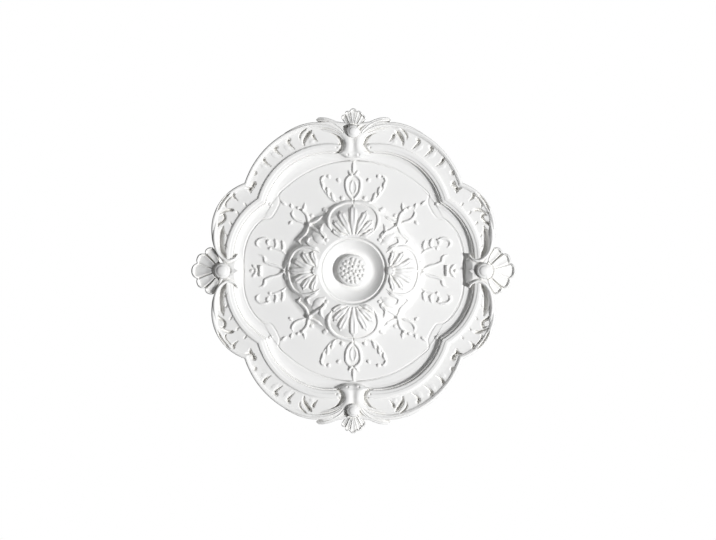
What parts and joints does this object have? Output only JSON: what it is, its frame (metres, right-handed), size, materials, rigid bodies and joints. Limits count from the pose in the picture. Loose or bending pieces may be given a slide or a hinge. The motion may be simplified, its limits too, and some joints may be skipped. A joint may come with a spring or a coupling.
{
  "type": "ceiling rose",
  "caption": "Lobed ceiling rose moulded in one piece, with a leaf frame, shell finials, low arabesques on the field and a dished centre with a seeded button.",
  "frame": {"origin": "middle of the flat back, on the face that is glued to the ceiling", "axes": "+Y out of the flat back into the ceiling or wall, -Y out of the decorated face towards the viewer, +Z towards the upper shell, +X towards the right-hand shell as the face is seen"},
  "size_m": [0.385, 0.031, 0.385],
  "materials": {
    "white_primer": "rigid moulded foam with a matt white primer"
  },
  "bodies": {
    "root": {"ceiling_rose": "white_primer"}
  },
  "joints": []
}
